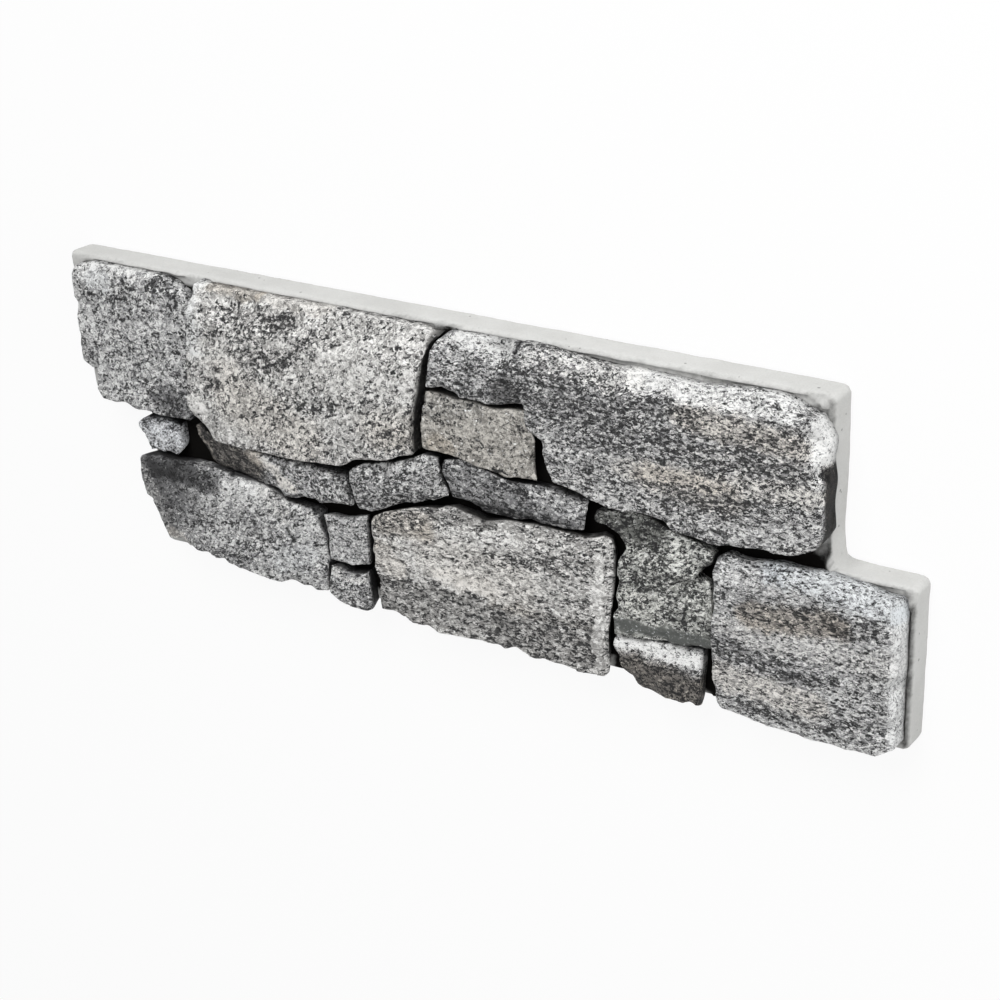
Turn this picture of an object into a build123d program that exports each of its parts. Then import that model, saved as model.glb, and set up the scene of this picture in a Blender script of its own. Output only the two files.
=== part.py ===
from build123d import *
import math
import os

# A cladding panel lying on its back: split granite stones bedded on a stepped slab of cast concrete.
# +X runs along the rows, +Y to the panel's top edge, +Z out of the wall. The origin is under the middle.

# Concrete backing
ROW_LENGTH = 545.0  # each of the two rows, along its lower edge
ROW_STEP = 50.0  # how far the lower row is shifted to the right
ROW_HEIGHT = 100.0
LEFT_LEAN = 5.0  # how far the upper row's left end leans out at its top
BACKING_THICKNESS = 20.0
CORNER_RADIUS = 4.0  # outside corners of the casting
STEP_RADIUS = 6.0  # inside corners of the two steps
EDGE_RADIUS = 2.0  # long edges of the casting

# How far the stones stay back from the edges of the backing
TOP_REVEAL = 2.5
LEFT_REVEAL = 1.5
RIGHT_REVEAL = 1.0
LOWER_REVEAL = 0.5

# Stones: where the upright joints stand, how high the beds lie and how ragged the outlines are
JOINT_WIDTH = 3.0
WANDER = 1.0  # millimetres for each unit of the ragged offsets in the outlines
LEFT_BLOCK_WIDTH = 104.0
CENTRE_BLOCK_WIDTH = 184.0
STACK_WIDTH = 77.0
CORNER_STONE_REACH = 102.0  # past the left block's joint
SPALL_WIDTH = 38.0
MIDDLE_BLOCK_REACH = 56.0  # past the stack's joint
NOTCHED_STONE_WIDTH = 63.0
WEDGE_REACH = 23.0  # past the corner stone's joint
SLANTED_STONE_REACH = 16.0  # past the centre block's joint
LONG_STONE_REACH = 39.0  # past the stack's joint
UPPER_STACK_HEIGHT = 38.0
BED_RISE = 18.0  # top of the bed stones above the line between the rows
BED_DROP = 7.0  # bottom of the bed stones below that line
LOWER_SPALL_HEIGHT = 28.0
UNDER_STONE_HEIGHT = 34.0

# Projection of each stone's face from the backing
PROJECTION = {
    "left_block": 13.0,
    "centre_block": 19.0,
    "upper_stack_stone": 14.0,
    "beige_stack_stone": 15.0,
    "right_block": 20.0,
    "left_spall": 11.0,
    "wedge_stone": 15.0,
    "slanted_bed_stone": 14.0,
    "long_bed_stone": 15.0,
    "corner_stone": 18.0,
    "notched_stone": 16.0,
    "square_spall": 13.0,
    "lower_spall": 17.0,
    "middle_block": 19.0,
    "under_stone": 16.0,
    "end_block": 18.0,
}

# Upright joints, from left to right
half_joint = JOINT_WIDTH / 2
left_end = LEFT_LEAN - (LEFT_LEAN + ROW_LENGTH + ROW_STEP) / 2
left_joint = left_end + LEFT_BLOCK_WIDTH
centre_joint = left_joint + CENTRE_BLOCK_WIDTH
stack_joint = centre_joint + STACK_WIDTH
corner_joint = left_joint + CORNER_STONE_REACH
spall_joint = corner_joint + SPALL_WIDTH
middle_joint = stack_joint + MIDDLE_BLOCK_REACH
notched_joint = middle_joint + NOTCHED_STONE_WIDTH
wedge_joint = corner_joint + WEDGE_REACH
slanted_joint = centre_joint + SLANTED_STONE_REACH
long_joint = stack_joint + LONG_STONE_REACH
upper_left = left_end + LEFT_REVEAL - half_joint
upper_right = left_end + ROW_LENGTH - RIGHT_REVEAL + half_joint
lower_left = left_end + ROW_STEP + LEFT_REVEAL - half_joint
lower_right = left_end + ROW_STEP + ROW_LENGTH - RIGHT_REVEAL + half_joint
right_heel = (notched_joint + upper_right) / 2
end_middle = (notched_joint + lower_right) / 2

# Bed joints, from the line between the rows
row_line = 0.0
top = row_line + ROW_HEIGHT - TOP_REVEAL + half_joint
stack_bed = top - UPPER_STACK_HEIGHT
bed_top = row_line + BED_RISE
bed_low = row_line - BED_DROP
low = row_line - ROW_HEIGHT + LOWER_REVEAL - half_joint
spall_bed = low + LOWER_SPALL_HEIGHT
under_bed = low + UNDER_STONE_HEIGHT


def spot(joint, across, bed, up):
    """A point of an outline: its upright joint and its bed joint, each with a ragged offset."""
    return (joint + across * WANDER, bed + up * WANDER)


# Where three stones meet
left_foot = spot(left_joint, -5, row_line, 1)
stack_head = spot(centre_joint, 19, top, 0)
stack_left = spot(centre_joint, 2, stack_bed, 0)
stack_foot = spot(centre_joint, -2, bed_top, 3)
stack_shoulder = spot(stack_joint, -5, top, 0)
stack_right = spot(stack_joint, -1, stack_bed, 1)
stack_heel = spot(stack_joint, 6, bed_top, 1)
wedge_head = spot(wedge_joint, -3, row_line, -3)
wedge_foot = spot(wedge_joint, 3, bed_low, -23)
wedge_tip = spot(corner_joint, -90, bed_low, -15)
wedge_heel = spot(corner_joint, -2, bed_low, -27)
slanted_head = spot(slanted_joint, -1, bed_top, 3)
slanted_foot = spot(slanted_joint, 2, bed_low, 2)
spall_head = spot(spall_joint, 1, bed_low, -23)
spall_side = spot(spall_joint, 2, spall_bed, 5)
spall_back = spot(corner_joint, 1, spall_bed, 0)
under_head = spot(middle_joint, -3, under_bed, 0)

# The split edges that two stones share, each listed once from left to right or from the top down
left_edge = [spot(left_joint, 2, row_line, 55), spot(left_joint, -4, row_line, 16)]
stack_upper_left = [spot(centre_joint, 12, top, -8), spot(centre_joint, 5, stack_bed, 15)]
stack_lower_left = [spot(centre_joint, -2, bed_top, 21)]
stack_upper_right = [spot(stack_joint, -8, top, -11), spot(stack_joint, -5, stack_bed, 13)]
centre_slope = [spot(wedge_joint, 8, row_line, 4), spot(centre_joint, -26, bed_top, -7)]
centre_bed = [
    spot(left_joint, 16, bed_low, 2),
    spot(left_joint, 43, bed_low, 0),
    spot(corner_joint, -16, bed_low, 1),
]
wedge_side = [spot(wedge_joint, 0, bed_low, -10)]
wedge_bed = [
    spot(corner_joint, -75, bed_low, -20),
    spot(corner_joint, -48, bed_low, -22),
    spot(corner_joint, -31, bed_low, -28),
]
slanted_side = [spot(slanted_joint, 0, bed_low, 15)]
beige_bed = [spot(slanted_joint, 22, bed_top, 1), spot(stack_joint, -15, bed_top, -1)]
slanted_bed = [spot(spall_joint, 14, bed_low, -16), spot(slanted_joint, -12, bed_low, -4)]
long_bed = [
    spot(slanted_joint, 18, bed_low, 1),
    spot(slanted_joint, 27, bed_low, -2),
    spot(long_joint, -19, bed_low, 1),
]
spall_bed_line = [spot(corner_joint, 24, spall_bed, 2)]
middle_side = [spot(middle_joint, 1, under_bed, 27), spot(middle_joint, -2, under_bed, 7)]
nib_bed = [spot(middle_joint, -6, row_line, 0), spot(middle_joint, 1, row_line, -3)]
under_line = [spot(middle_joint, 16, under_bed, 0), spot(middle_joint, 34, under_bed, 3)]

# Each stone's cell, clockwise from its upper left, out to the middle of its joints
CELLS = {
    "left_block": [
        spot(upper_left, 5, top, -3),
        spot(upper_left, 19, top, 0),
        spot(left_joint, -9, top, 0),
        spot(left_joint, 4, top, -4),
        spot(left_joint, 7, top, -11),
        *left_edge,
        left_foot,
        spot(left_joint, -42, row_line, -1),
        spot(upper_left, 19, row_line, 2),
        spot(upper_left, 13, row_line, 10),
        spot(upper_left, 14, row_line, 17),
        spot(upper_left, 6, row_line, 21),
        spot(upper_left, 3, row_line, 27),
    ],
    "centre_block": [
        spot(left_joint, 16, top, 0),
        stack_head,
        *stack_upper_left,
        stack_left,
        *stack_lower_left,
        stack_foot,
        *reversed(centre_slope),
        wedge_head,
        *reversed(centre_bed),
        spot(left_joint, 9, row_line, 3),
        spot(left_joint, -2, row_line, 6),
        *reversed(left_edge),
        spot(left_joint, 9, top, -15),
    ],
    "upper_stack_stone": [
        stack_head,
        stack_shoulder,
        *stack_upper_right,
        stack_right,
        stack_left,
        *reversed(stack_upper_left),
    ],
    "beige_stack_stone": [
        stack_left,
        stack_right,
        spot(stack_joint, 1, stack_bed, -9),
        spot(stack_joint, 5, stack_bed, -17),
        stack_heel,
        *reversed(beige_bed),
        slanted_head,
        stack_foot,
        *reversed(stack_lower_left),
    ],
    "right_block": [
        stack_shoulder,
        spot(upper_right, -17, top, 0),
        spot(upper_right, -3, top, -6),
        spot(upper_right, 0, top, -20),
        spot(upper_right, 0, row_line, 27),
        spot(upper_right, -4, row_line, 20),
        spot(upper_right, -24, row_line, 11),
        spot(right_heel, -23, row_line, 8),
        spot(notched_joint, -27, row_line, 8),
        spot(middle_joint, 23, bed_top, -4),
        spot(middle_joint, 9, bed_top, -2),
        spot(long_joint, 1, bed_top, 1),
        spot(stack_joint, 18, bed_top, 3),
        spot(stack_joint, 14, stack_bed, -23),
        spot(stack_joint, 1, stack_bed, -9),
        stack_right,
        *reversed(stack_upper_right),
    ],
    "left_spall": [
        spot(lower_left, -1, row_line, -8),
        spot(lower_left, 7, row_line, -2),
        spot(left_joint, -6, row_line, 0),
        spot(left_joint, -12, row_line, -8),
        spot(left_joint, -15, bed_low, -14),
        spot(left_joint, -23, bed_low, -21),
        spot(lower_left, 6, bed_low, -21),
        spot(lower_left, 4, bed_low, -13),
    ],
    "wedge_stone": [
        left_foot,
        spot(left_joint, 9, row_line, 1),
        *centre_bed,
        wedge_head,
        *wedge_side,
        wedge_foot,
        wedge_heel,
        *reversed(wedge_bed),
        wedge_tip,
    ],
    "slanted_bed_stone": [
        wedge_head,
        *centre_slope,
        stack_foot,
        slanted_head,
        *slanted_side,
        slanted_foot,
        *reversed(slanted_bed),
        spall_head,
        wedge_foot,
        *reversed(wedge_side),
    ],
    "long_bed_stone": [
        slanted_head,
        *beige_bed,
        stack_heel,
        spot(long_joint, -1, bed_top, 0),
        spot(long_joint, -3, bed_low, 3),
        *reversed(long_bed),
        slanted_foot,
        *reversed(slanted_side),
    ],
    "corner_stone": [
        spot(lower_left, 3, bed_low, -24),
        spot(lower_left, 11, bed_low, -21),
        wedge_tip,
        *wedge_bed,
        wedge_heel,
        spot(corner_joint, 0, spall_bed, 20),
        spall_back,
        spot(corner_joint, 1, low, 6),
        spot(corner_joint, -18, low, 3),
        spot(corner_joint, -46, low, 3),
        spot(lower_left, 51, low, 9),
        spot(lower_left, 18, low, 10),
        spot(lower_left, 9, low, 28),
        spot(lower_left, 0, low, 40),
        spot(lower_left, 0, bed_low, -29),
    ],
    "notched_stone": [
        spot(long_joint, 1, row_line, 3),
        spot(long_joint, 5, row_line, 11),
        spot(middle_joint, 6, row_line, 15),
        spot(middle_joint, 18, row_line, 14),
        spot(notched_joint, -27, row_line, 8),
        spot(notched_joint, -10, row_line, 5),
        spot(notched_joint, 0, row_line, 2),
        spot(notched_joint, 0, row_line, -8),
        spot(notched_joint, -12, row_line, -17),
        spot(notched_joint, 0, row_line, -21),
        spot(notched_joint, 0, under_bed, 6),
        *reversed(under_line),
        under_head,
        *reversed(middle_side),
        spot(middle_joint, 3, row_line, -16),
        spot(middle_joint, 6, row_line, -9),
        *reversed(nib_bed),
        spot(long_joint, 4, row_line, 0),
    ],
    "square_spall": [
        spot(corner_joint, 0, bed_low, -32),
        spot(spall_joint, -1, bed_low, -25),
        spall_side,
        *reversed(spall_bed_line),
        spall_back,
    ],
    "lower_spall": [
        spall_back,
        *spall_bed_line,
        spall_side,
        spot(spall_joint, 4, low, 5),
        spot(spall_joint, -3, low, 0),
        spot(corner_joint, 20, low, 0),
        spot(corner_joint, 10, low, 2),
        spot(corner_joint, 1, low, 6),
    ],
    "middle_block": [
        spall_head,
        *slanted_bed,
        slanted_foot,
        *long_bed,
        spot(long_joint, -1, bed_low, 4),
        *nib_bed,
        spot(middle_joint, 3, row_line, -16),
        *middle_side,
        under_head,
        spot(middle_joint, -3, low, 8),
        spot(middle_joint, -7, low, 4),
        spot(middle_joint, -76, low, 3),
        spot(middle_joint, -89, low, 1),
        spot(middle_joint, -96, low, 4),
        spot(middle_joint, -123, low, 1),
        spot(spall_joint, 18, low, 4),
        spot(spall_joint, 4, low, 5),
        spall_side,
    ],
    "under_stone": [
        under_head,
        *under_line,
        spot(notched_joint, -5, under_bed, 5),
        spot(notched_joint, -6, low, 13),
        spot(notched_joint, -7, low, 0),
        spot(middle_joint, 15, low, 0),
        spot(middle_joint, 7, low, 9),
        spot(middle_joint, -1, low, 20),
    ],
    "end_block": [
        spot(notched_joint, 0, row_line, -4),
        spot(notched_joint, 5, row_line, 0),
        spot(lower_right, -6, row_line, 0),
        spot(lower_right, -2, row_line, -5),
        spot(lower_right, -2, low, 9),
        spot(lower_right, -12, low, 4),
        spot(end_middle, 10, low, 2),
        spot(end_middle, -20, low, 3),
        spot(notched_joint, 5, low, 6),
        spot(notched_joint, 0, low, 14),
    ],
}

# Flakes split off each face: the way each one faces in degrees from +X, how far in it starts and falls
FLAKES = {
    "left_block": [(90, 8, 3), (10, 30, 2)],
    "centre_block": [(90, 17, 9), (200, 40, 3), (275, 30, 2)],
    "upper_stack_stone": [(92, 12, 7), (350, 18, 3)],
    "beige_stack_stone": [(95, 10, 2), (300, 24, 2)],
    "right_block": [(91, 10, 12), (8, 6, 8), (262, 40, 2)],
    "left_spall": [(95, 7, 3)],
    "wedge_stone": [(232, 32, 7), (80, 8, 3)],
    "slanted_bed_stone": [(112, 10, 2), (292, 12, 2)],
    "long_bed_stone": [(88, 8, 4), (268, 8, 3)],
    "corner_stone": [(183, 42, 4), (85, 12, 3), (357, 50, 3)],
    "notched_stone": [(82, 24, 5), (165, 20, 4)],
    "square_spall": [(75, 10, 2)],
    "lower_spall": [(45, 10, 3)],
    "middle_block": [(95, 20, 4), (200, 26, 2)],
    "under_stone": [(88, 12, 5), (225, 10, 3)],
    "end_block": [(91, 8, 9), (2, 4, 6)],
}


def bedded(cell):
    """A stone's own outline: its cell with every side moved in by half a joint."""
    facing = []
    for (x0, y0), (x1, y1) in zip(cell, cell[1:] + cell[:1]):
        side = math.hypot(x1 - x0, y1 - y0)
        facing.append(((y1 - y0) / side, (x0 - x1) / side))
    outline = []
    for (x, y), (ax, ay), (bx, by) in zip(cell, facing[-1:] + facing[:-1], facing):
        mitre = half_joint / (1 + ax * bx + ay * by)
        outline.append((x + (ax + bx) * mitre, y + (ay + by) * mitre))
    return outline


def split_flake(outline, face, heading, start, fall):
    """Cut the stone in hand along a sloping plane on the side that the heading points to."""
    along = math.cos(math.radians(heading))
    aside = math.sin(math.radians(heading))
    reach = max(x * along + y * aside for x, y in outline) - start * WANDER
    cut = Plane(origin=(reach * along, reach * aside, face), z_dir=(fall * along, fall * aside, start))
    split(bisect_by=cut, keep=Keep.BOTTOM)


os.makedirs("parts", exist_ok=True)

# The stepped slab
with BuildPart() as backing:
    with BuildSketch() as plan:
        with BuildLine():
            Polyline(
                (left_end, row_line),
                (left_end - LEFT_LEAN, row_line + ROW_HEIGHT),
                (left_end + ROW_LENGTH, row_line + ROW_HEIGHT),
                (left_end + ROW_LENGTH, row_line),
                (left_end + ROW_STEP + ROW_LENGTH, row_line),
                (left_end + ROW_STEP + ROW_LENGTH, row_line - ROW_HEIGHT),
                (left_end + ROW_STEP, row_line - ROW_HEIGHT),
                (left_end + ROW_STEP, row_line),
                close=True,
            )
        make_face()
        steps = plan.vertices().group_by(Axis.Y)[1].sort_by(Axis.X)[1:3]
        fillet(steps, radius=STEP_RADIUS)
        rounded = plan.edges().filter_by(GeomType.CIRCLE).vertices()
        corners = [corner for corner in plan.vertices() if corner not in rounded]
        fillet(corners, radius=CORNER_RADIUS)
    extrude(amount=BACKING_THICKNESS)
    fillet(backing.faces().filter_by(Axis.Z).edges(), radius=EDGE_RADIUS)
backing.part.label = "backing_slab"
export_step(backing.part, "parts/backing_slab.step")

# The stones, bedded face to face on the slab
for name, cell in CELLS.items():
    outline = bedded(cell)
    with BuildPart() as stone:
        with BuildSketch(Plane.XY.offset(BACKING_THICKNESS)):
            with BuildLine():
                Polyline(*outline, close=True)
            make_face()
        extrude(amount=PROJECTION[name])
        for heading, start, fall in FLAKES[name]:
            split_flake(outline, BACKING_THICKNESS + PROJECTION[name], heading, start, fall)
    stone.part.label = name
    export_step(stone.part, f"parts/{name}.step")
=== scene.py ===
# %% [markdown]
# # A cladding panel of split granite
#
# The real thing is a piece of ready-made wall cladding: sixteen granite stones, split by hand, set close together on
# a stepped slab of cast concrete. The CAD model gives every stone its outline, its thickness and its main facets.
# Blender gives each one the broken skin, the mineral grains and the worn edges that no drawing holds.
#
# We begin by loading the CAD model as a fixed frame. Everything below is in metres and in that same frame, so no
# piece has to be fitted by eye. The panel lies on its back: X runs along the rows, Y towards its top edge, Z out of
# the wall.

import math
from collections import namedtuple

import bpy
import numpy as np
from mathutils import Matrix, Vector, noise
from mathutils.bvhtree import BVHTree


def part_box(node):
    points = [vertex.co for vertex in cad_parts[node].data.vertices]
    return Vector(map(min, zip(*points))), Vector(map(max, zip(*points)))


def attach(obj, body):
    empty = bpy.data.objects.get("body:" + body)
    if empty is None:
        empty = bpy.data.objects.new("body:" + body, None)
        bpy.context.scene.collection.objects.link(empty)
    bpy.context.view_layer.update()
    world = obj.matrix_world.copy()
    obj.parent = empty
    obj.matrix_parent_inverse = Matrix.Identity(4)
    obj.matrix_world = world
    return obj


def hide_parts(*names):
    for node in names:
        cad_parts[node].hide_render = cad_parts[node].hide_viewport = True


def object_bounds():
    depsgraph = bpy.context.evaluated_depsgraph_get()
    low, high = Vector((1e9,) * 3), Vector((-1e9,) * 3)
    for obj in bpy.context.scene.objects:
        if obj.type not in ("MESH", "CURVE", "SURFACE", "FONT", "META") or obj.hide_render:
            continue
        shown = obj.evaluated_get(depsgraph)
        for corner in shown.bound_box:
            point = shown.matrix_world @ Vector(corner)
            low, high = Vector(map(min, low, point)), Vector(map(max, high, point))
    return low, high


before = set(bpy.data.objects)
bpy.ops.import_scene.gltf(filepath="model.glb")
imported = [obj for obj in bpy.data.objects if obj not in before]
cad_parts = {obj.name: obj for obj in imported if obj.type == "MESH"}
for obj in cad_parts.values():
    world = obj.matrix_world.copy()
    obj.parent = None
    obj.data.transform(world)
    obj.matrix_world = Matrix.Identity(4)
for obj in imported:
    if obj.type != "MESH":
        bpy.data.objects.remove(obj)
cad_low, cad_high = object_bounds()
MM = 0.001
print("CAD box in mm:", [round(v / MM, 1) for v in (*cad_low, *cad_high)])

# %% [markdown]
# ## The camera
#
# The photograph was taken from the panel's upper right, with the panel standing up. Here the panel lies down, so the
# same view is had from above, with the camera rolled until the panel's top edge is up in the picture. A camera
# matrix is simply three axes and a place: right, up and backwards, as columns.

# %% Camera
eye = Vector((0.62305, 0.46788, 0.85792))
ahead = Vector((-0.5196, -0.4212, -0.7434)).normalized()
up = Vector((-0.2034, 0.9060, -0.3711))
right = ahead.cross(up).normalized()
up = right.cross(ahead)

camera = bpy.data.objects.new("camera", bpy.data.cameras.new("camera"))
bpy.context.scene.collection.objects.link(camera)
camera.matrix_world = Matrix.Translation(eye) @ Matrix((right, up, -ahead)).transposed().to_4x4()
camera.data.sensor_width = 36.0
camera.data.lens = 68.3
camera.data.clip_start = 0.01
bpy.context.scene.camera = camera
print("camera", round((eye - (cad_low + cad_high) / 2).length, 2), "m from the middle of the panel")

# %% [markdown]
# ## Floor and light
#
# Two small helpers come first, because every material below needs them: one links a socket or writes a value, the other
# adds a Math node. The third asks Light Path whether the camera looks straight at a surface, so that the floor and the
# sky can look white without lighting the panel more.

# %% First node helpers
def plug(tree, socket, value):
    """Link a socket to another one, or write a plain value into it."""
    if isinstance(value, bpy.types.NodeSocket):
        tree.links.new(value, socket)
    else:
        socket.default_value = value


def reckon(tree, operation, *values, kind="ShaderNodeMath"):
    """A Math node, such as reckon(tree, "ADD", a, b)."""
    node = tree.nodes.new(kind)
    node.operation = operation
    for socket, value in zip(node.inputs, values):
        plug(tree, socket, value)
    return node.outputs[0]


def seen_directly(tree):
    """1 for what the camera sees straight, in a mirror or through glass, and 0 for light on its way to a surface."""
    path = tree.nodes.new("ShaderNodeLightPath").outputs
    straight = reckon(tree, "MAXIMUM", path["Is Camera Ray"], path["Is Glossy Ray"])
    return reckon(tree, "MAXIMUM", straight, path["Is Transmission Ray"])


print("first helpers ready")

# %% [markdown]
# A plain pale floor lies under the panel. It shows white to the camera, mixed with a small share of real shading, so
# that the panel keeps its shadow. Light that bounces off it onto the panel is ordinary diffuse light.

# %% Floor
floor_mesh = bpy.data.meshes.new("floor")
REACH = 6.0
FLOOR_DROP = 0.0002
GLOW_SHARE = 0.92
floor_mesh.from_pydata(
    [(-REACH, -REACH, 0), (REACH, -REACH, 0), (REACH, REACH, 0), (-REACH, REACH, 0)], [], [(0, 1, 2, 3)])
floor = bpy.data.objects.new("floor", floor_mesh)
floor.location.z = -FLOOR_DROP
bpy.context.scene.collection.objects.link(floor)

paper = bpy.data.materials.new("white_paper")
paper.use_nodes = True
tree = paper.node_tree
tree.nodes.clear()
surface = tree.nodes.new("ShaderNodeOutputMaterial")
matt = tree.nodes.new("ShaderNodeBsdfDiffuse")
matt.inputs["Color"].default_value = (0.85, 0.85, 0.85, 1)
glow = tree.nodes.new("ShaderNodeEmission")
glow.inputs["Color"].default_value = (1, 1, 1, 1)
blend = tree.nodes.new("ShaderNodeMixShader")
tree.links.new(reckon(tree, "MULTIPLY", seen_directly(tree), GLOW_SHARE), blend.inputs[0])
tree.links.new(matt.outputs[0], blend.inputs[1])
tree.links.new(glow.outputs[0], blend.inputs[2])
tree.links.new(blend.outputs[0], surface.inputs["Surface"])
floor_mesh.materials.append(paper)
print("floor", 2 * REACH, "m square")

# %% [markdown]
# The sky lights the panel evenly from all round, and the camera sees it as plain white beyond the floor. Two area
# lamps, each a metre wide, add the soft direction of a studio. The first stands so that the slab's top edge is the
# brightest face, as in the photograph.

# %% Sky and lamps
SKY_LIGHT = 0.46
scene = bpy.context.scene
scene.view_settings.view_transform = "Standard"
sky = bpy.data.worlds.new("even_sky")
scene.world = sky
sky.use_nodes = True
tree = sky.node_tree
tree.nodes.clear()
horizon = tree.nodes.new("ShaderNodeOutputWorld")
daylight = tree.nodes.new("ShaderNodeBackground")
daylight.inputs["Strength"].default_value = SKY_LIGHT
white = tree.nodes.new("ShaderNodeBackground")
white.inputs["Color"].default_value = (1, 1, 1, 1)
white.inputs["Strength"].default_value = 1.0
either = tree.nodes.new("ShaderNodeMixShader")
tree.links.new(seen_directly(tree), either.inputs[0])
tree.links.new(daylight.outputs[0], either.inputs[1])
tree.links.new(white.outputs[0], either.inputs[2])
tree.links.new(either.outputs[0], horizon.inputs["Surface"])


def soft_lamp(name, place, target, size, watts):
    """A square area lamp that looks at a point."""
    lamp = bpy.data.objects.new(name, bpy.data.lights.new(name, "AREA"))
    lamp.data.size = size
    lamp.data.energy = watts
    lamp.location = place
    lamp.rotation_euler = (Vector(target) - Vector(place)).to_track_quat("-Z", "Y").to_euler()
    scene.collection.objects.link(lamp)
    return lamp


soft_lamp("top_edge_lamp", (0.25, 1.35, 1.15), (0, 0, 0.02), 1.0, 24)
soft_lamp("right_end_lamp", (1.7, 0.1, 0.9), (0, 0, 0.02), 1.0, 9)

# %% [markdown]
# ## Shader groups for the granite
#
# Granite is a mosaic of grains two or three millimetres across: white feldspar, grey quartz and flakes of black
# mica. In this stone the mica lies in streaks, because the rock was squeezed. We could paint that as a picture, but
# a picture has one size and one seam. Instead we build it from Voronoi cells. Each cell is a grain and gets a random
# number, and a grain turns to mica when its number is under the share of mica at that place. So "how much mica" is a
# single value that bands, strokes and stones can each push up or down.
#
# Small helpers keep the node code short: one makes an empty group with named sockets, the others each add one node
# and hand back its output.

# %% Helpers for node groups
def new_group(title, inputs, outputs):
    """An empty shader node group with named sockets, and its input and output nodes."""
    group = bpy.data.node_groups.new(title, "ShaderNodeTree")
    for label, value in inputs.items():
        kind = "NodeSocketFloat" if isinstance(value, (int, float)) else "NodeSocketColor"
        socket = group.interface.new_socket(label, in_out="INPUT", socket_type=kind)
        socket.default_value = value
    for label, kind in outputs.items():
        group.interface.new_socket(label, in_out="OUTPUT", socket_type=kind)
    return group, group.nodes.new("NodeGroupInput").outputs, group.nodes.new("NodeGroupOutput").inputs


def vectors(group, operation, *values):
    """A Vector Math node."""
    return reckon(group, operation, *values, kind="ShaderNodeVectorMath")


def fade(group, value, start, end, low=0.0, high=1.0):
    """A smooth ramp: low where the value is at start, high where it is at end."""
    node = group.nodes.new("ShaderNodeMapRange")
    node.interpolation_type = "SMOOTHSTEP"
    for label, number in (("Value", value), ("From Min", start), ("From Max", end), ("To Min", low), ("To Max", high)):
        plug(group, node.inputs[label], number)
    return node.outputs["Result"]


def tint(group, factor, first, second, mode="MIX"):
    """A colour mix."""
    node = group.nodes.new("ShaderNodeMix")
    node.data_type = "RGBA"
    node.blend_type = mode
    plug(group, node.inputs["Factor"], factor)
    plug(group, node.inputs[6], first)
    plug(group, node.inputs[7], second)
    return node.outputs[2]


def cloud(group, place, scale, detail=2.0, rough=0.5):
    """A Noise texture, about 0.5 on average."""
    node = group.nodes.new("ShaderNodeTexNoise")
    plug(group, node.inputs["Vector"], place)
    plug(group, node.inputs["Scale"], scale)
    node.inputs["Detail"].default_value = detail
    node.inputs["Roughness"].default_value = rough
    return node.outputs["Fac"]


def laid_along(group, foliation, seed, stretch):
    """Object coordinates turned so that X lies along the streaks, drawn out along them and shifted by the seed."""
    place = group.nodes.new("ShaderNodeTexCoord").outputs["Object"]
    turn = group.nodes.new("ShaderNodeVectorRotate")
    turn.rotation_type = "Z_AXIS"
    plug(group, turn.inputs["Vector"], place)
    plug(group, turn.inputs["Angle"], reckon(group, "MULTIPLY", foliation, -math.pi / 180))
    narrow = group.nodes.new("ShaderNodeCombineXYZ")
    narrow.inputs[1].default_value = 1.0
    narrow.inputs[2].default_value = 1.0
    plug(group, narrow.inputs[0], reckon(group, "DIVIDE", 1.0, stretch))
    drawn = vectors(group, "MULTIPLY", turn.outputs[0], narrow.outputs[0])
    shift = group.nodes.new("ShaderNodeCombineXYZ")
    plug(group, shift.inputs[0], reckon(group, "MULTIPLY", seed, 0.731))
    plug(group, shift.inputs[1], reckon(group, "MULTIPLY", seed, 0.377))
    plug(group, shift.inputs[2], reckon(group, "MULTIPLY", seed, 0.913))
    return vectors(group, "ADD", drawn, shift.outputs[0])


print("helpers ready")

# %% [markdown]
# ### Streaks
#
# The streaks are a noise drawn out along one direction. Each stone was turned when it was laid, so the direction is
# an input. A second, finer layer breaks the long streaks into short ones.

# %% Group: foliation streaks
streaks, given, made = new_group(
    "foliation_streaks",
    {"Foliation": 0.0, "Width": 0.012, "Seed": 0.0},
    {"Streak": "NodeSocketFloat"})
along = laid_along(streaks, given["Foliation"], given["Seed"], 5.0)
wide = cloud(streaks, along, reckon(streaks, "DIVIDE", 0.6, given["Width"]), 1.0)
short = laid_along(streaks, given["Foliation"], given["Seed"], 2.5)
fine = cloud(streaks, short, reckon(streaks, "DIVIDE", 2.2, given["Width"]), 2.0)
both = reckon(streaks, "ADD", reckon(streaks, "MULTIPLY", wide, 0.62), reckon(streaks, "MULTIPLY", fine, 0.38))
streaks.links.new(fade(streaks, both, 0.32, 0.68, -1.0, 1.0), made["Streak"])
print("group", streaks.name, len(streaks.nodes), "nodes")

# %% [markdown]
# ### Grains
#
# Two layers of Voronoi cells, one coarse and one fine, with edges shaken by noise so that no grain looks like a
# honeycomb. The first random number of a cell decides whether it is mica, the second how pale it is.

# %% Group: mineral grains
grains, given, made = new_group(
    "mineral_grains",
    {"Foliation": 0.0, "Grain": 0.0018, "Stretch": 1.5, "Mica": 0.4, "Seed": 0.0},
    {"Mica": "NodeSocketFloat", "Pale": "NodeSocketFloat", "Painted Sparkle": "NodeSocketFloat", "Height": "NodeSocketFloat"})
place = laid_along(grains, given["Foliation"], given["Seed"], given["Stretch"])
per_metre = reckon(grains, "DIVIDE", 1.0, given["Grain"])
shake = grains.nodes.new("ShaderNodeTexNoise")
plug(grains, shake.inputs["Vector"], place)
plug(grains, shake.inputs["Scale"], reckon(grains, "MULTIPLY", per_metre, 0.9))
shake.inputs["Detail"].default_value = 2.0
wobble = vectors(grains, "SUBTRACT", shake.outputs["Color"], (0.5, 0.5, 0.5))
scaled = grains.nodes.new("ShaderNodeVectorMath")
scaled.operation = "SCALE"
plug(grains, scaled.inputs[0], wobble)
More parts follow.
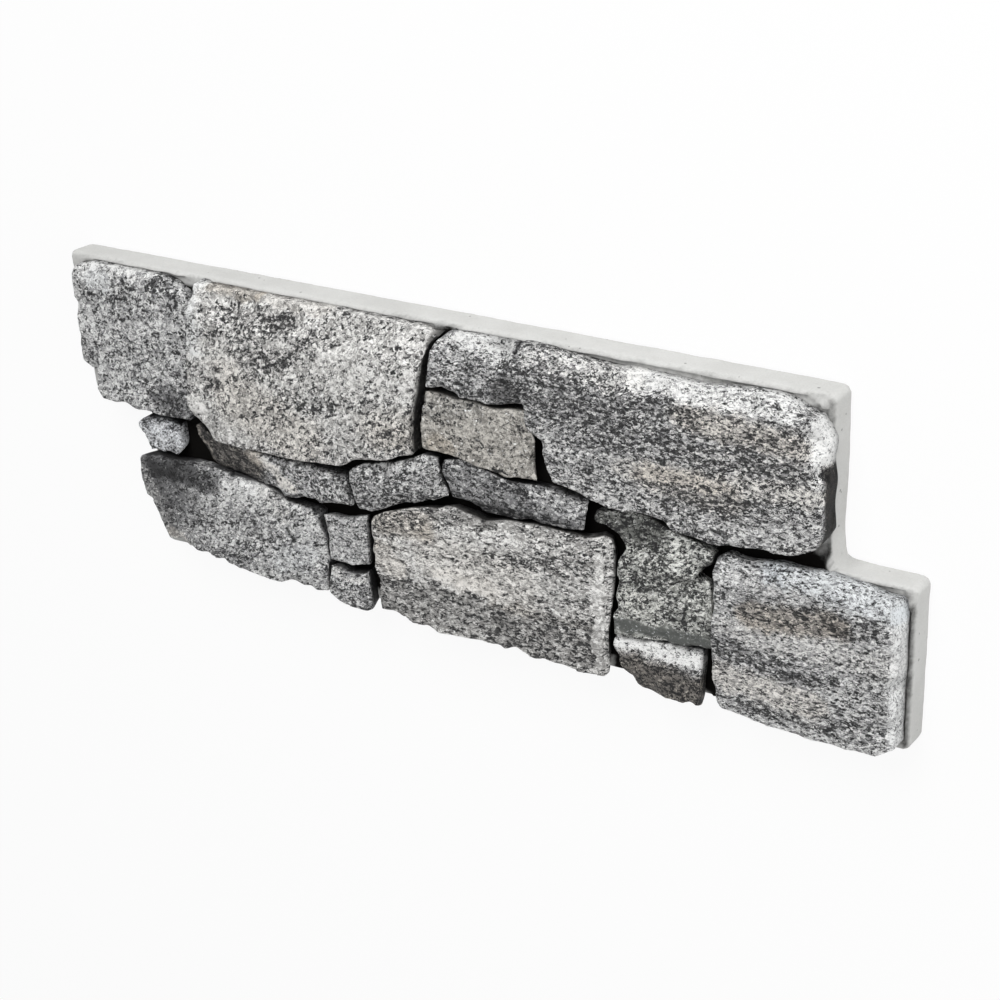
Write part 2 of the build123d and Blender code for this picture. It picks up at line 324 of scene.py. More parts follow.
plug(grains, scaled.inputs["Scale"], reckon(grains, "MULTIPLY", given["Grain"], 2.2))
shaken = vectors(grains, "ADD", place, scaled.outputs[0])


def cells(group, place, scale):
    """Random numbers of the Voronoi cell at a place."""
    node = group.nodes.new("ShaderNodeTexVoronoi")
    plug(group, node.inputs["Vector"], place)
    plug(group, node.inputs["Scale"], scale)
    split = group.nodes.new("ShaderNodeSeparateColor")
    group.links.new(node.outputs["Color"], split.inputs[0])
    return split.outputs


coarse = cells(grains, shaken, per_metre)
small = cells(grains, shaken, reckon(grains, "MULTIPLY", per_metre, 1.9))
clump = cloud(grains, place, reckon(grains, "MULTIPLY", per_metre, 0.36), 2.0)
rank = reckon(grains, "ADD", reckon(grains, "MULTIPLY", coarse[0], 0.55), reckon(grains, "MULTIPLY", small[0], 0.45))
rank = reckon(grains, "ADD", rank, reckon(grains, "MULTIPLY", reckon(grains, "SUBTRACT", clump, 0.5), 0.75))
dust = reckon(grains, "SUBTRACT", cloud(grains, place, reckon(grains, "MULTIPLY", per_metre, 3.0), 1.0), 0.5)
rank = reckon(grains, "MULTIPLY_ADD", dust, 0.10, rank)
level = reckon(grains, "MULTIPLY_ADD", given["Mica"], 0.80, 0.10)
gap = reckon(grains, "SUBTRACT", level, rank)
mica = reckon(grains, "MULTIPLY", fade(grains, gap, -0.09, 0.13), fade(grains, small[2], 0.0, 0.8, 0.90, 1.0))
pale = reckon(grains, "ADD", reckon(grains, "MULTIPLY", coarse[1], 0.5), reckon(grains, "MULTIPLY", small[1], 0.5))
pale = reckon(grains, "MULTIPLY_ADD", dust, 0.5, pale)
grains.links.new(mica, made["Mica"])
grains.links.new(pale, made["Pale"])
# A few rare cells are painted near white: a painted sparkle highlight.
grains.links.new(fade(grains, small[2], 0.965, 0.985), made["Painted Sparkle"])
grains.links.new(reckon(grains, "MULTIPLY_ADD", mica, -0.5, pale), made["Height"])
print("group", grains.name, len(grains.nodes), "nodes")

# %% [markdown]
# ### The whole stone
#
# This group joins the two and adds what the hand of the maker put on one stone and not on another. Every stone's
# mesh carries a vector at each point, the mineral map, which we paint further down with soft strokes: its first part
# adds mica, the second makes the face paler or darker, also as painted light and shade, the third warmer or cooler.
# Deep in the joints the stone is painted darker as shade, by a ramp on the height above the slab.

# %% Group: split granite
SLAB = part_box("backing_slab")[1].z
MOST_MICA = 0.62
granite, given, made = new_group(
    "split_granite",
    {"Foliation": 0.0, "Grain": 0.0018, "Stretch": 1.5, "Mica": 0.4, "Streaking": 0.15, "Width": 0.012, "Seed": 0.0,
     "Feldspar": (0.70, 0.70, 0.69, 1), "Quartz": (0.25, 0.25, 0.255, 1), "Mica Colour": (0.018, 0.018, 0.019, 1)},
    {"Color": "NodeSocketColor", "Roughness": "NodeSocketFloat", "Height": "NodeSocketFloat"})
painted = granite.nodes.new("ShaderNodeAttribute")
painted.attribute_name = "mineral_map"
strokes = granite.nodes.new("ShaderNodeSeparateXYZ")
granite.links.new(painted.outputs["Vector"], strokes.inputs[0])
streak = granite.nodes.new("ShaderNodeGroup")
streak.node_tree = streaks
grain = granite.nodes.new("ShaderNodeGroup")
grain.node_tree = grains
for node, labels in ((streak, ("Foliation", "Width", "Seed")), (grain, ("Foliation", "Grain", "Stretch", "Seed"))):
    for label in labels:
        granite.links.new(given[label], node.inputs[label])
banded = reckon(granite, "MULTIPLY_ADD", streak.outputs["Streak"], given["Streaking"], given["Mica"])
share_of_mica = reckon(granite, "MINIMUM", reckon(granite, "ADD", banded, strokes.outputs[0]), MOST_MICA)
granite.links.new(share_of_mica, grain.inputs["Mica"])

paleness = reckon(granite, "MULTIPLY_ADD", strokes.outputs[1], 0.55, grain.outputs["Pale"])
mineral = tint(granite, fade(granite, paleness, 0.15, 0.85), given["Quartz"], given["Feldspar"])
# Painted highlight: the sparkle cells turn near white.
painted_sparkle = tint(granite, grain.outputs["Painted Sparkle"], mineral, (0.85, 0.85, 0.84, 1))
warm = tint(granite, fade(granite, strokes.outputs[2], 0.0, 1.0), painted_sparkle, (1.0, 0.92, 0.82, 1), "MULTIPLY")
cool = tint(granite, fade(granite, strokes.outputs[2], 0.0, -1.0), warm, (0.90, 0.95, 1.0, 1), "MULTIPLY")
speckled = tint(granite, grain.outputs["Mica"], cool, given["Mica Colour"])
# Negative paleness darkens the colour: the stones' own darker tones and painted shade.
tone_and_shade = fade(granite, strokes.outputs[1], 0.0, -1.5, 1.0, 0.12)
height = granite.nodes.new("ShaderNodeSeparateXYZ")
granite.links.new(granite.nodes.new("ShaderNodeTexCoord").outputs["Object"], height.inputs[0])
# Painted shade deep in the joints: darker towards the slab.
depth_shade = fade(granite, height.outputs[2], SLAB, SLAB + 7 * MM, 0.45, 1.0)
darken = granite.nodes.new("ShaderNodeCombineColor")
for socket in darken.inputs[:3]:
    granite.links.new(reckon(granite, "MULTIPLY", tone_and_shade, depth_shade), socket)
granite.links.new(tint(granite, 1.0, speckled, darken.outputs[0], "MULTIPLY"), made["Color"])
granite.links.new(reckon(granite, "MULTIPLY_ADD", grain.outputs["Mica"], -0.25, 0.82), made["Roughness"])
granite.links.new(grain.outputs["Height"], made["Height"])
print("group", granite.name, len(granite.nodes), "nodes")

# %% [markdown]
# ## What each stone is like
#
# One line a stone, read from the photograph: the way its streaks run in degrees, its grain in millimetres and how far
# the grains are drawn out, its share of mica, how strongly it is streaked and how wide the streaks are in
# millimetres, how far its face heaves and flakes in millimetres, and the family of its pale minerals.

# %% Stones
PALE_MINERALS = {
    "grey": ((0.82, 0.82, 0.81, 1), (0.235, 0.235, 0.24, 1)),
    "cool": ((0.85, 0.86, 0.88, 1), (0.27, 0.275, 0.285, 1)),
    "warm": ((0.88, 0.87, 0.85, 1), (0.29, 0.284, 0.274, 1)),
    "olive": ((0.80, 0.805, 0.77, 1), (0.205, 0.21, 0.195, 1)),
    "beige": ((0.62, 0.596, 0.552, 1), (0.205, 0.196, 0.18, 1)),
}
Stone = namedtuple("Stone", "foliation grain stretch mica streaking width heave flake minerals")
STONES = {
    "left_block": Stone(14, 1.9, 1.3, 0.38, 0.08, 10, 0.5, 0.4, "grey"),
    "centre_block": Stone(26, 1.8, 1.3, 0.34, 0.14, 10, 0.7, 0.5, "warm"),
    "upper_stack_stone": Stone(4, 1.2, 1.6, 0.54, 0.12, 8, 0.5, 0.5, "grey"),
    "beige_stack_stone": Stone(0, 1.7, 1.2, 0.23, 0.06, 12, 0.6, 0.9, "beige"),
    "right_block": Stone(4, 1.25, 1.7, 0.54, 0.14, 10, 0.8, 0.7, "grey"),
    "left_spall": Stone(8, 1.3, 1.3, 0.35, 0.10, 8, 0.5, 0.7, "cool"),
    "wedge_stone": Stone(-20, 1.3, 1.3, 0.54, 0.08, 10, 0.5, 0.8, "grey"),
    "slanted_bed_stone": Stone(14, 1.2, 1.7, 0.50, 0.10, 7, 0.5, 0.5, "grey"),
    "long_bed_stone": Stone(-4, 1.3, 1.7, 0.60, 0.14, 7, 0.6, 0.7, "grey"),
    "corner_stone": Stone(20, 1.45, 1.5, 0.38, 0.13, 10, 0.8, 0.6, "grey"),
    "notched_stone": Stone(12, 1.35, 1.5, 0.53, 0.10, 10, 0.8, 0.7, "olive"),
    "square_spall": Stone(10, 1.1, 1.6, 0.38, 0.08, 7, 0.4, 0.4, "grey"),
    "lower_spall": Stone(14, 1.3, 1.6, 0.52, 0.10, 8, 0.5, 0.5, "grey"),
    "middle_block": Stone(4, 1.35, 2.0, 0.37, 0.16, 10, 0.8, 1.1, "warm"),
    "under_stone": Stone(4, 1.25, 1.4, 0.48, 0.10, 8, 0.6, 0.4, "grey"),
    "end_block": Stone(2, 1.1, 2.0, 0.42, 0.14, 11, 0.6, 0.6, "grey"),
}
print(len(STONES), "stones")

# %% [markdown]
# ## Strokes of mineral, light and shade
#
# Each stone has places that its streaks alone don't explain: a knot of mica, a fresh white break, a rusty patch. We
# paint them as soft strokes, as with a wide brush. A stroke has two ends, a radius, and what it adds: mica, paleness
# and warmth. All are in millimetres, and noise frays their edges later.

# %% Strokes, upper row
# Most strokes are the stones' own minerals. Some paint light and shade: negative paleness on facets turned from the
# lamps or in a neighbour's shadow is painted shade, and the pale strokes on top edges and bevels are partly painted
# light.
STROKES = {
    "left_block": [
        (-215, 91, -200, 91, 8, 0.20, -0.1, 0), (-245, 80, -235, 84, 7, 0.13, 0, 0.1),
        # The first stroke here darkens the lower right, with more mica and partly painted shade.
        (-218, 13, -198, 5, 11, 0.16, -0.5, -0.1), (-196, 75, -198, 30, 8, 0.08, -0.1, 0),
        (-270, 88, -262, 86, 9, -0.12, 0.15, -0.3), (-272, 80, -250, 78, 4, 0.16, 0, 0),
        # A painted highlight along the top edge.
        (-285, 98, -215, 101, 3, -0.1, 0.35, 0)],
    "centre_block": [
        (-175, 68, -105, 88, 8, 0.22, 0, 0), (-182, 53, -120, 62, 5, 0.16, 0, 0), (-125, 54, -75, 80, 7, 0.17, 0, 0),
        (-192, 42, -166, 36, 5, 0.14, 0, 0), (-90, 36, -78, 39, 8, 0.2, 0, -0.2),
        (-112, 28, -98, 36, 6, 0.12, 0, 0), (-45, 45, -25, 48, 7, 0.16, 0, 0),
        (-35, 28, -18, 30, 8, 0.10, 0, 0.1), (-180, 96, -183, 60, 10, -0.12, 0.2, -0.4),
        (-196, 18, -185, 16, 7, -0.16, 0.3, 0.1), (-172, 55, -150, 58, 10, -0.08, 0.05, 0.15),
        (-150, 30, -100, 10, 22, -0.04, 0.05, 0.35), (-165, 99, -130, 98, 4, -0.2, -0.25, 0.5),
        (-128, 98, -75, 98, 4, -0.25, 0.0, 0.25),
        (-40, 30, -10, 35, 14, 0, 0, 0.3), (-70, 65, -20, 62, 14, -0.06, 0.1, 0)],
    "upper_stack_stone": [
        # A paler top bevel, partly painted light, then painted shade: the right block's shadow at the lower right and a
        # thin shadow line along the right edge.
        (8, 97, 58, 98, 6, -0.22, 0.4, 0), (52, 70, 63, 70, 10, 0.10, -0.6, 0.2), (63, 90, 70, 62, 2.5, 0.25, -0.6, 0)],
    "beige_stack_stone": [
        (63, 50, 63, 51, 3, 0.6, 0, 0), (45, 22, 45, 23, 3, 0.5, 0, 0), (5, 45, 6, 45, 4, 0.35, 0, 0),
        (14, 35, 15, 36, 4, 0.3, 0, 0), (22, 25, 23, 26, 3, 0.35, 0, 0), (0, 52, 30, 56, 8, 0.12, -0.2, -0.3),
        (28, 48, 29, 36, 2, 0.1, 0.2, 0), (2, 28, 12, 26, 7, 0, 0, 0.5)],
    "right_block": [
        # The top bevel is paler, partly painted light.
        (140, 96, 232, 97, 7, -0.28, 0.3, 0), (78, 95, 135, 96, 8, -0.08, 0.15, 0.15),
        (95, 83, 172, 85, 5, 0.10, -0.15, 0), (80, 75, 125, 60, 22, 0.06, -0.15, 0),
        (130, 64, 165, 68, 5, 0.12, -0.1, 0), (175, 60, 238, 60, 6, 0.14, -0.1, 0.1),
        (130, 43, 245, 49, 6, -0.12, 0.1, 0.25), (150, 40, 200, 37, 10, -0.04, 0, 0.3),
        (172, 82, 236, 76, 9, -0.06, 0, 0.4), (165, 30, 200, 33, 3, 0.18, 0, 0), (200, 33, 242, 44, 3, 0.18, 0, 0),
        (100, 20, 230, 14, 9, -0.06, 0.1, 0), (100, 50, 235, 50, 45, 0, 0, 0.12),
        # The pale right facet, partly painted light.
        (250, 88, 250, 68, 6, -0.45, 0.5, -0.1)],
}
print(sum(len(v) for v in STROKES.values()), "strokes")

# %% [markdown]
# The lower row and the small stones between the rows are painted in the same way. The notched stone has a smooth
# blue-grey seam at its foot, painted darker in part as shade, and the small stone under it is pale on top and brown in
# front, partly as painted light and shade.

# %% Strokes, bed and lower row
STROKES.update({
    "left_spall": [
        (-230, -8, -212, -14, 9, -0.06, 0.18, -0.2), (-238, -5, -210, -3, 3, 0.2, -0.4, 0)],
    "wedge_stone": [
        # The lower-left facet is its own brown, made darker as painted shade.
        (-188, -8, -148, -20, 12, 0.06, -0.6, 0.7), (-146, -9, -112, -27, 5, -0.35, 0.3, 0.4),
        (-125, -14, -85, -22, 9, 0.02, -0.04, 0),
        (-190, 0, -172, -20, 2, -0.3, 0.2, 0.3)],
    "slanted_bed_stone": [(-60, -20, -40, -16, 8, 0.05, -0.1, 0), (-50, 2, -10, 14, 5, -0.05, 0.1, 0)],
    "long_bed_stone": [
        (72, 12, 95, 8, 5, -0.15, 0.25, 0), (15, 8, 30, 3, 7, -0.08, 0.1, 0), (30, -4, 70, -3, 4, 0.08, -0.3, 0.2),
        (100, 8, 104, -2, 5, -0.06, 0.1, 0), (15, 3, 100, 0, 14, 0, -0.5, 0)],
    "corner_stone": [
        # The first four strokes darken the upper left as painted shade: the shadow of the stones above and a facet
        # turned from the lamps.
        (-228, -32, -182, -36, 9, 0.05, -0.7, -0.1), (-221, -42, -214, -52, 12, 0.02, -0.3, -0.1),
        (-238, -40, -226, -76, 11, 0.04, -0.4, 0.15), (-206, -44, -206, -58, 20, 0, -0.28, 0),
        (-225, -84, -212, -88, 5, -0.4, 0.0, 0.4), (-165, -36, -130, -38, 8, -0.12, 0.2, 0),
        (-150, -68, -118, -62, 6, 0.12, 0, 0), (-200, -86, -150, -89, 6, 0.10, -0.2, 0),
        (-130, -32, -120, -45, 9, 0, 0, 0.2), (-125, -80, -105, -72, 10, -0.05, 0.1, -0.3)],
    "notched_stone": [
        (112, 5, 152, 0, 9, 0.10, -0.6, 0), (158, -4, 164, 3, 6, -0.15, 0.35, 0), (163, -12, 180, -4, 6, -0.1, 0.2, 0),
        (145, -28, 165, -20, 6, 0.14, -0.1, 0.1), (160, -45, 185, -48, 5, 0.2, -0.2, 0),
        # The seam at the foot is painted darker, partly as shade on a facet that faces down.
        (122, -60, 188, -56, 4, -0.8, -0.8, -0.45), (135, -40, 150, -45, 9, -0.08, 0.1, 0.15)],
    "square_spall": [(-85, -45, -60, -42, 8, 0.04, 0, 0)],
    "lower_spall": [(-83, -76, -60, -77, 4, -0.15, 0.3, 0.2), (-58, -80, -56, -98, 2.5, 0.1, -0.4, 0)],
    "middle_block": [
        (-40, -31, -8, -27, 10, 0.02, -0.12, 0.45), (-44, -55, -30, -60, 10, -0.06, 0.0, 0.35),
        (0, -45, 60, -52, 18, -0.06, 0.06, 0.25),
        (-46, -47, -25, -46, 3, 0.22, 0, 0.2), (25, -40, 70, -33, 6, 0.14, 0, 0), (70, -28, 112, -20, 7, 0.12, -0.1, 0),
        (5, -58, 40, -58, 7, -0.14, 0.2, 0.1), (-45, -84, 115, -80, 14, 0.06, -0.3, 0),
        (-48, -72, 40, -68, 3, 0.14, -0.2, 0), (40, -68, 112, -64, 3, 0.16, -0.2, 0.2),
        (-10, -94, 30, -91, 6, -0.1, 0.1, 0), (0, -14, 42, -13, 5, 0.12, -0.4, 0), (42, -10, 112, -8, 6, 0.12, -0.2, 0),
        # A paler right bevel, partly painted light.
        (117, -15, 116, -88, 3.5, -0.6, 0.05, -0.1)],
    "under_stone": [
        # A paler top, partly painted light, and a dark brown front, partly painted shade.
        (128, -69, 178, -69, 6, -0.3, 0.6, 0), (136, -88, 178, -92, 13, 0.1, -0.62, 0.8),
        (128, -76, 130, -84, 5, -0.05, 0.15, 0)],
    "end_block": [
        # The first stroke makes the top bevel paler and cooler, partly painted light.
        (225, 0, 298, -6, 11, -0.08, 0.2, -0.5), (195, 0, 225, -4, 7, 0.0, 0.05, -0.2),
        (212, -30, 262, -24, 8, 0.08, -0.3, 0.7), (262, -24, 292, -20, 6, 0.08, -0.1, 0.1),
        (190, -50, 240, -61, 5, 0.22, -0.2, 0), (240, -59, 264, -57, 2.5, 0.25, -0.1, 0),
        (262, -84, 298, -80, 3, 0.16, 0, 0), (190, -87, 265, -90, 3, 0.18, -0.1, 0.1),
        (192, -72, 250, -76, 10, -0.08, 0.08, 0.4), (200, -42, 290, -40, 9, -0.06, 0.06, 0.2),
        (299, -8, 299, -96, 5, -0.4, 0.3, -0.2)],
})
print(sum(len(v) for v in STROKES.values()), "strokes in all")

# %% [markdown]
# ## From CAD solid to broken stone
#
# A voxel remesh turns the few large faces of a CAD stone into a skin of even little ones, about a millimetre across.
# Subdividing would keep the long thin triangles of the CAD mesh, so the remesh is the better start. One step of
# smoothing takes off the razor edge. A long smoothing, thrown away again, tells how near each point is to an edge,
# because it moves edges furthest. The slab needs that for its crumbling edges.
#
# The cells that follow work on plain arrays of points: the outline is shifted, corners come off, and the face is
# pushed in and out along its normals. Blender starts noise_vector from the clock, so we set its seed here, and the
# stones come out the same on every run.

# %% An even skin
VOXEL = 0.9 * MM
WEAR_STEPS = 1
EDGE_STEPS = 12
NOISE_SEED = 5
noise.seed_set(NOISE_SEED)


def applied(piece):
    """The piece's mesh with its modifiers worked in."""
    mesh = bpy.data.meshes.new_from_object(piece.evaluated_get(bpy.context.evaluated_depsgraph_get()))
    piece.modifiers.clear()
    piece.data = mesh
    return mesh


def read(mesh, what):
    """Coordinates or normals of a mesh as an array of points."""
    values = np.empty(3 * len(mesh.vertices), np.float32)
    mesh.vertices.foreach_get(what, values)
    return values.reshape(-1, 3).astype(float)


def even_skin(node, name, voxel):
    """A remeshed and worn copy of a CAD node, and how near each point is to an edge, from 0 to 1."""
    piece = bpy.data.objects.new(name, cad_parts[node].data.copy())
    scene.collection.objects.link(piece)
    remesh = piece.modifiers.new("even skin", "REMESH")
    remesh.mode = "VOXEL"
    remesh.voxel_size = voxel
    even = applied(piece)
    sharp = read(even, "co")
    for count in (EDGE_STEPS, WEAR_STEPS):
        piece.data = even
        wear = piece.modifiers.new("worn edges", "SMOOTH")
        wear.factor = 0.5
        wear.iterations = count
        worn = read(applied(piece), "co")
        if count == EDGE_STEPS:
            moved = np.linalg.norm(worn - sharp, axis=1)
    return piece, np.clip(moved / (1.3 * voxel), 0, 1)


print("voxels of", VOXEL / MM, "mm")

# %% [markdown]
# Some stones touch. Where the photograph shows no dark line between two of them, their edges are drawn together
# along the joint until only a hairline is left.

# %% Closed joints
CLOSED_JOINTS = [
    [(-183, 86), (-189, 55), (-195, 16), (-196, 6)],
    [(-190, 2), (-175, -5), (-148, -7)],
    [(-168, -27), (-137, -29), (-120, -34)],
    [(62, 88), (65, 75), (69, 62), (71, 50)],
    [(-89, -52), (-88, -72)],
    [(126, -67), (150, -66)],
]
CLOSING_REACH = 3.4
HAIRLINE = 0.25


def nearest_on(line, flat):
    """The nearest place on a line of points, for every row of an array of flat points."""
    best = np.full(len(flat), np.inf)
    spot = np.zeros_like(flat)
    for start, end in zip(np.array(line[:-1], float), np.array(line[1:], float)):
        run = end - start
        share = np.clip((flat - start) @ run / max(run @ run, 1e-9), 0, 1)
        foot = start + share[:, None] * run
        gap = np.linalg.norm(flat - foot, axis=1)
        nearer = gap < best
        best[nearer], spot[nearer] = gap[nearer], foot[nearer]
    return best, spot


def close_joints(points):
    """Draws edges that should touch towards the middle of their joint."""
    flat = points[:, :2] / MM
    lift = np.clip((points[:, 2] - SLAB) / (5 * MM), 0, 1)
    for line in CLOSED_JOINTS:
        gap, spot = nearest_on(line, flat)
        pull = np.clip((CLOSING_REACH - gap) / 1.2, 0, 1) * np.clip(gap - HAIRLINE, 0, 1.5) / np.maximum(gap, 1e-6)
        points[:, :2] += (spot - flat) * (pull * lift)[:, None] * MM
    return points


print(len(CLOSED_JOINTS), "joints closed")

# %% [markdown]
# Seen from the front, the joints between the other stones are black. The stones were broken by hand, so their flanks
# lean inwards behind the face, and little light gets down there. We lean the right and the upper flank by shifting
# every level of the stone a little more the deeper it lies. The whole level moves in proportion, so nothing folds.

# %% Leaning flanks
LEAN = {
    "centre_block": (1.0, 0), "upper_stack_stone": (2.0, 0), "beige_stack_stone": (9.0, 1.5), "left_spall": (5.0, 0),
    "wedge_stone": (4.0, 1.0), "slanted_bed_stone": (6.0, 3.0), "long_bed_stone": (8.0, 3.0),
    "corner_stone": (2.5, 4.0), "notched_stone": (1.0, 2.0), "square_spall": (6.0, 4.0), "lower_spall": (7.0, 3.0),
    "middle_block": (9.0, 6.0), "under_stone": (5.0, 2.0), "end_block": (0, 3.0),
}


def lean_back(points, right, top):
    """Shifts each level of a stone inwards from its right and upper flank, more so the deeper it lies."""
    low, high = points.min(axis=0), points.max(axis=0)
    depth = np.clip((high[2] - 2 * MM - points[:, 2]) / (high[2] - 2 * MM - SLAB), 0, 1)
    points[:, 0] -= right * MM * depth * (points[:, 0] - low[0]) / (high[0] - low[0])
    points[:, 1] -= top * MM * depth * (points[:, 1] - low[1]) / (high[1] - low[1])


print(len(LEAN), "stones lean")

# %% [markdown]
# Where a corner was knocked off, a plane is laid across it and whatever sticks out is pressed back onto the plane. A
# Boolean cut would do the same, but it makes new large faces and breaks up the even skin. Each entry is a point on the
# plane in millimetres and the direction that the plane faces.

# %% Knocked-off corners
KNOCKED_OFF = {
    "centre_block": [((-14, 99, 36), (0.36, 0.89, 0.28)), ((-120, 95, 39), (0.0, 0.96, 0.28))],
    "upper_stack_stone": [((35, 95, 34), (0.0, 0.86, 0.5))],
    "right_block": [((200, 93, 37), (0.0, 0.72, 0.70)), ((250, 96, 30), (0.62, 0.55, 0.55)),
                    ((246, 78, 39.5), (0.72, 0.28, 0.63))],
    "left_spall": [((-210, -12, 30), (0.95, 0.1, 0.25))],
    "wedge_stone": [((-95, -11, 34), (0.10, 0.95, 0.25))],
    "corner_stone": [((-101, -38, 36), (0.55, 0.82, 0.15))],
    "square_spall": [((-56, -50, 33), (1.0, 0.0, 0.1))],
    "lower_spall": [((-56, -85, 37), (1.0, 0.08, 0.1))],
    "middle_block": [((117, -55, 38), (0.55, 0.02, 0.83))],
    "under_stone": [((150, -70, 35), (0.0, 0.75, 0.66)), ((180, -85, 36), (1.0, 0.0, 0.15))],
    "end_block": [((297, -50, 37), (0.80, 0.0, 0.60))],
}


def knock_off(points, spot, direction):
    """Presses what lies beyond a plane back onto it."""
    outward = np.array(Vector(direction).normalized())
    beyond = np.clip((points - np.array(spot) * MM) @ outward, 0, None)
    points -= beyond[:, None] * outward


print(sum(len(v) for v in KNOCKED_OFF.values()), "corners knocked off")

# %% [markdown]
# Elsewhere the outline is drawn out or in around one place, as a thumb pushes clay. The push is strongest in the middle
# and dies away over the radius. Each entry is the place, the radius and the push along X and Y, in millimetres.

# %% Corners drawn out and in
DRAWN_OUT = {
    "left_block": [(-186, 95, 13, -6, -4), (-200, 97, 10, 0, -2)],
    "centre_block": [(-177, 94, 14, -8.5, 1.5), (4, 95, 12, -2, -2), (0, 75, 16, -0.8, 0), (-6, 43, 18, -2.4, 0),
                     (-8, 24, 12, -2.5, 0), (-36, 14, 20, 0, -2), (-9, 22, 11, 0, -4)],
    "upper_stack_stone": [(65, 94, 11, -3, 0), (8, 88, 12, -3, 0), (22, 63, 12, 0, -2.6), (40, 64, 13, 0, -3.4)],
    "beige_stack_stone": [(18, 60, 10, 0, -1.5), (43, 60, 12, 0, -3), (64, 60, 9, 0, -1), (73, 30, 14, -1.5, 0),
                          (44, 21, 13, 0, -4), (70, 22, 11, 0, -3)],
    "right_block": [(74, 94, 12, -8.5, 1.5), (125, 20, 16, 0, -4), (108, 26, 10, 0, -1.5), (87, 35, 14, -4, -1),
                    (246, 8, 13, 4, -4), (235, 12, 12, 1, -2.5),
                    (250, 30, 16, 4, -0.5), (250, 55, 12, 4, 0), (194, 8, 14, 0, -2), (250, 76, 10, 4, 0),
                    (120, 98, 24, 0, -2.2), (170, 97, 26, 0, -2.8), (238, 95, 11, -2, -3)],
    "left_spall": [(-240, -6, 9, -5, -1.5), (-208, 0, 10, 0, -4)],
    "wedge_stone": [(-182, -14, 14, -7, 3), (-187, -5, 9, -4, -2), (-172, -18, 11, -8, -5), (-101, -32, 7, 0, 2.5)],
    "slanted_bed_stone": [(-20, 0, 60, 0, -2.5), (10, 16, 9, -5.5, 0), (10, 4, 8, -2.5, 0)],
    "long_bed_stone": [(60, 8, 120, 0, -3.4), (12, 13, 9, -4.5, 0), (24, 17, 16, 0, 5), (50, 17, 12, 0, 1),
                       (70, 14, 12, 0, 1)],
    "corner_stone": [(-234, -29, 12, -3, 2.7), (-240, -46, 13, -4, -1), (-183, -28, 10, 0, -3),
                     (-100, -42, 12, -3, -2)],
    "notched_stone": [(122, 12, 9, -2, -1.5), (115, 6, 9, -3, 0), (125, -32, 18, -4.5, 0), (124, -58, 10, -2.5, 0),
                      (190, 5, 8, -1, -3), (184, -13, 8, -5, -4)],
    "square_spall": [(-53, -36, 9, -2, 0), (-53, -62, 10, -1.5, 0), (-75, -36, 12, 0, -2),
                     (-88, -40, 10, -4, 0), (-72, -66, 12, 0, -2.5)],
    "lower_spall": [(-72, -70, 12, 0, -4), (-56, -70, 9, -1, -3), (-52, -82, 12, -2, 0)],
    "middle_block": [(3, -9, 12, 0, -2.5), (23, -4, 14, 0, -4), (40, -8, 12, -2, -2), (112, -8, 14, 0, -4)],
    "under_stone": [(136, -90, 10, -4.5, -1.5), (127, -74, 9, -2, 0)],
    "end_block": [(191, -1, 9, -1.5, 3), (226, 0, 16, 0, 4), (252, 1, 15, 0, 4), (270, 1, 12, 0, 2),
                  (188, -50, 45, -2.6, 0)],
}


def draw_out(points, x, y, radius, *shift):
    """Draws the outline outwards or inwards around one place."""
    gap = np.linalg.norm(points[:, :2] / MM - (x, y), axis=1)
    points[:, :2] += np.exp(-(gap / radius) ** 2)[:, None] * np.array(shift) * MM


print(sum(len(v) for v in DRAWN_OUT.values()), "places drawn out or in")

# %% [markdown]
# A hammered edge isn't round. It is a row of flat chips, so we knock small planes into the rim of each face, at
# random places and depths, and each plane only reaches a centimetre or two around its own place. A bevel would be
# quicker, but it gives the same rounding all the way round.

# %% Chipped edges
CHIP_SPACING = 15.0
CHIP_REACH = (8, 20)
CHIP_DEPTH = 1.2
RIM_DEPTH = 4


def chip_edges(points, normals, top, seed):
    """Knocks small flat chips into the rim of a stone's face."""
    luck = np.random.default_rng(seed)
    slant = (normals[:, 2] > 0.3) & (normals[:, 2] < 0.9)
    rim = np.nonzero(slant & (points[:, 2] > top - RIM_DEPTH * MM))[0]
    span = np.ptp(points[rim, :2], axis=0).sum() / MM
    for i in luck.choice(rim, int(2 * span / CHIP_SPACING)):
        outward = normals[i] + 0.2 * luck.standard_normal(3)
        outward /= np.linalg.norm(outward)
        reach = luck.uniform(*CHIP_REACH) * MM
        away = points - points[i]
        near = np.nonzero((np.abs(away) < reach).all(axis=1))[0]
        beyond = away[near] @ outward + CHIP_DEPTH * MM * luck.random() ** 2
        fall = np.clip(1.6 * (1 - np.linalg.norm(away[near], axis=1) / reach), 0, 1)
        points[near] -= (np.clip(beyond, 0, None) * fall * fall * (3 - 2 * fall))[:, None] * outward


print("one chip every", CHIP_SPACING, "mm of rim")

# %% [markdown]
# The face itself is pushed in and out along its normals. Besides heave, flakes and grit there are terraces: the rock
# splits along its streaks, each sheet slopes gently and ends in a small step that faces down and throws a thin shadow.

# %% Relief of a split face
SHEET = 0.011
SWAY = 0.6 * MM


def terrace(spot):
    """A slope that ends in a step, along the streaks."""
    bend = noise.noise(Vector((spot.x / 0.035, spot.y / 0.014, spot.z / 0.03)))
    strength = noise.noise(Vector((spot.x / 0.028, spot.y / 0.012, 5.0)))
    return (0.5 - (spot.y / SHEET + 1.1 * bend) % 1.0) * min(1.0, max(0.0, 1.8 * strength + 0.25))


